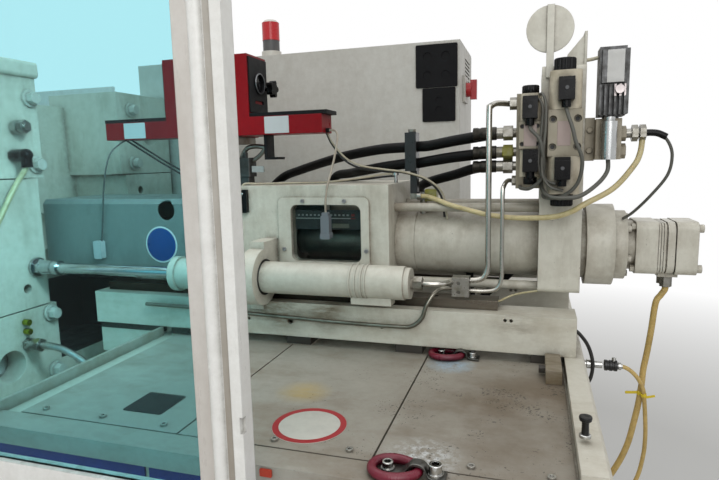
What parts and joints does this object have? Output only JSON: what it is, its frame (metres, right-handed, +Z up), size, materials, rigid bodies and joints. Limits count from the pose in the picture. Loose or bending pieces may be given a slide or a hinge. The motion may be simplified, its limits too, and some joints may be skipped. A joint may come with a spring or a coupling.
{
  "type": "injection moulding machine",
  "caption": "Horizontal injection moulding machine: bed, hydraulic clamp, sliding guard door, and injection carriage with valves, motor and red doser base.",
  "frame": {"origin": "middle of the machine's bounding box, on the floor", "axes": "+X from the clamp end to the injection end, +Y away from the operator, +Z up"},
  "size_m": [3.856, 1.51, 1.919],
  "materials": {
    "machine_paint": "satin",
    "bed_blue": "satin",
    "deck_paint": "satin",
    "steel": "satin",
    "zinc_brown": "satin",
    "chrome": "polished",
    "rail_steel": "matte",
    "lock_red": "satin",
    "doser_red": "satin",
    "black_plastic": "matte",
    "grey_plastic": "satin",
    "handle_red": "gloss",
    "beacon_red": "gloss",
    "guard_tint": "clear",
    "pane_clear": "clear",
    "cover_sheet": "satin",
    "valve_beige": "matte",
    "alu_grey": "satin",
    "hose_black": "matte",
    "hose_cream": "satin",
    "hose_mustard": "satin",
    "cable_grey": "matte",
    "clear_grey": "gloss"
  },
  "bodies": {
    "bed": {"bed_frame": "machine_paint", "bed_panels": "bed_blue", "levelling_feet": "steel", "deck_plates": "deck_paint", "deck_screws": "black_plastic", "end_rim": "machine_paint", "slide_beams": "machine_paint", "guide_rails": "rail_steel", "transport_brackets": "lock_red", "fixed_platen": "machine_paint", "platen_bolts": "steel", "platen_pipework": "steel", "tie_bars": "chrome", "end_platen": "machine_paint", "clamp_cylinder": "machine_paint", "traverse_rods": "chrome", "cabinet": "machine_paint", "fan_panels": "black_plastic", "beacon_base": "grey_plastic", "beacon_lens": "beacon_red", "guard_frame": "machine_paint"},
    "guard_door": {"guard_door": "machine_paint", "guard_window": "guard_tint"},
    "cabinet_door_left": {"cabinet_door_left": "machine_paint"},
    "cabinet_door_right": {"cabinet_door_right": "machine_paint"},
    "switch_handle": {"switch_handle": "handle_red"},
    "moving_platen": {"moving_platen": "machine_paint"},
    "ejector": {"ejector_plate": "steel"},
    "carriage": {"injection_housing": "machine_paint", "window_frame": "machine_paint", "window_pane": "pane_clear", "barrel": "steel", "heater_bands": "steel", "nozzle": "steel", "barrel_cover": "cover_sheet", "traverse_cylinders": "machine_paint", "injection_cylinder": "machine_paint", "end_plate": "machine_paint", "motor_drum": "machine_paint", "screw_motor": "machine_paint", "valve_blocks": "zinc_brown", "valve_bodies": "valve_beige", "solenoids": "valve_beige", "valve_plugs": "black_plastic", "valve_amplifier": "alu_grey", "steel_tubes": "chrome", "tube_fittings": "zinc_brown", "black_hoses": "hose_black", "cream_hose": "hose_cream", "mustard_hoses": "hose_mustard", "cables": "cable_grey", "hanging_cable": "hose_cream", "hanging_connector": "clear_grey", "doser_base": "doser_red", "doser_plates": "black_plastic", "indicator_disc": "machine_paint"},
    "doser_knob_left": {"doser_knob_left": "black_plastic"},
    "doser_knob_right": {"doser_knob_right": "black_plastic"},
    "plunger": {"screw_coupling": "steel"},
    "screw": {"screw": "steel"}
  },
  "joints": [
    {"name": "guard_door_slide", "type": "slide", "parent": "bed", "child": "guard_door", "axis": [1, 0, 0], "range_m": [-1.18, 0]},
    {"name": "cabinet_left_hinge", "type": "hinge", "parent": "bed", "child": "cabinet_door_left", "pos_m": [0.239, 0.755, 1.41], "axis": [0, 0, 1], "range_deg": [0, 110]},
    {"name": "cabinet_right_hinge", "type": "hinge", "parent": "bed", "child": "cabinet_door_right", "pos_m": [1.377, 0.755, 1.41], "axis": [0, 0, -1], "range_deg": [0, 110]},
    {"name": "main_switch_turn", "type": "hinge", "parent": "bed", "child": "switch_handle", "pos_m": [1.385, 0.539, 1.659], "axis": [1, 0, 0], "range_deg": [0, 90]},
    {"name": "clamp_slide", "type": "slide", "parent": "bed", "child": "moving_platen", "axis": [1, 0, 0], "range_m": [0, 0.3]},
    {"name": "ejector_slide", "type": "slide", "parent": "moving_platen", "child": "ejector", "axis": [1, 0, 0], "range_m": [0, 0.044]},
    {"name": "carriage_slide", "type": "slide", "parent": "bed", "child": "carriage", "axis": [1, 0, 0], "range_m": [-0.15, 0.05], "deforming": ["mustard_hoses"]},
    {"name": "plunger_slide", "type": "slide", "parent": "carriage", "child": "plunger", "axis": [1, 0, 0], "range_m": [-0.02, 0.09]},
    {"name": "screw_spin", "type": "hinge", "parent": "plunger", "child": "screw", "pos_m": [0.952, 0.023, 1.25], "axis": [1, 0, 0], "continuous": true},
    {"name": "doser_knob_left_turn", "type": "hinge", "parent": "carriage", "child": "doser_knob_left", "pos_m": [0.688, 0.029, 1.63], "axis": [1, 0, 0], "continuous": true},
    {"name": "doser_knob_right_turn", "type": "hinge", "parent": "carriage", "child": "doser_knob_right", "pos_m": [0.936, 0.029, 1.63], "axis": [1, 0, 0], "continuous": true}
  ]
}
